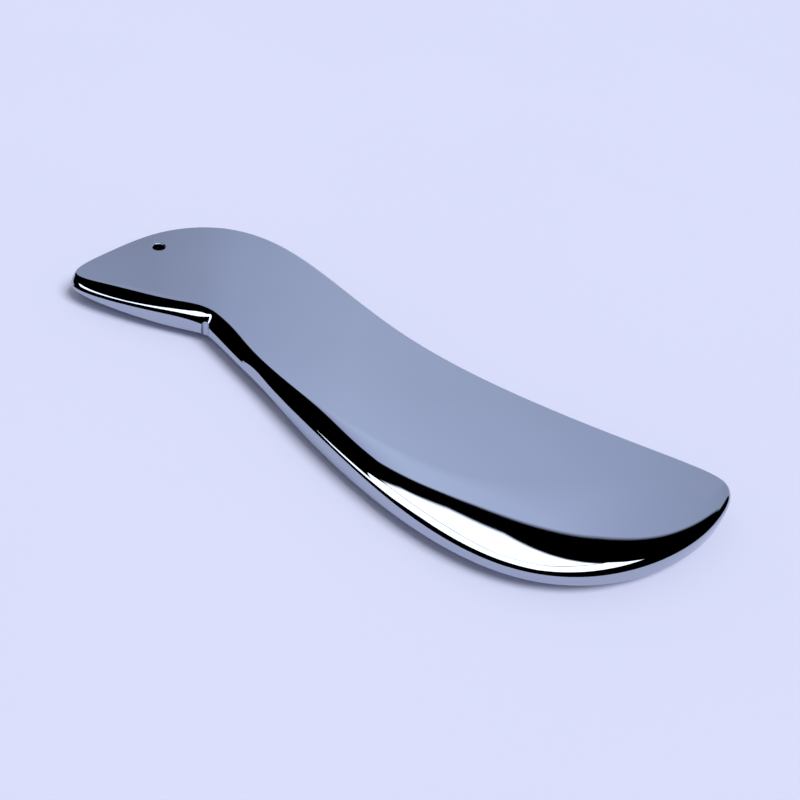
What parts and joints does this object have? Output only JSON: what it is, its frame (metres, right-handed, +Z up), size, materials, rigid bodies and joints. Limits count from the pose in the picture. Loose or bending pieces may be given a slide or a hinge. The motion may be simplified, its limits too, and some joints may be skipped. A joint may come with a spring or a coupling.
{
  "type": "gua sha scraper",
  "caption": "Long curved massage scraper of polished dark stone, with a beaked head, a hanging hole, a notch under the beak and a rounded paddle with a thin edge.",
  "frame": {"origin": "centre of the bounding box at the level of the lower flat face, so the scraper lies on the plane z = 0", "axes": "+X from the beaked head to the paddle, +Y from the thin working edge to the thick back, +Z up, square to the two flat faces"},
  "size_m": [0.1778, 0.0608, 0.009],
  "materials": {
    "polished_stone": "polished"
  },
  "bodies": {
    "root": {"scraper_body": "polished_stone"}
  },
  "joints": []
}
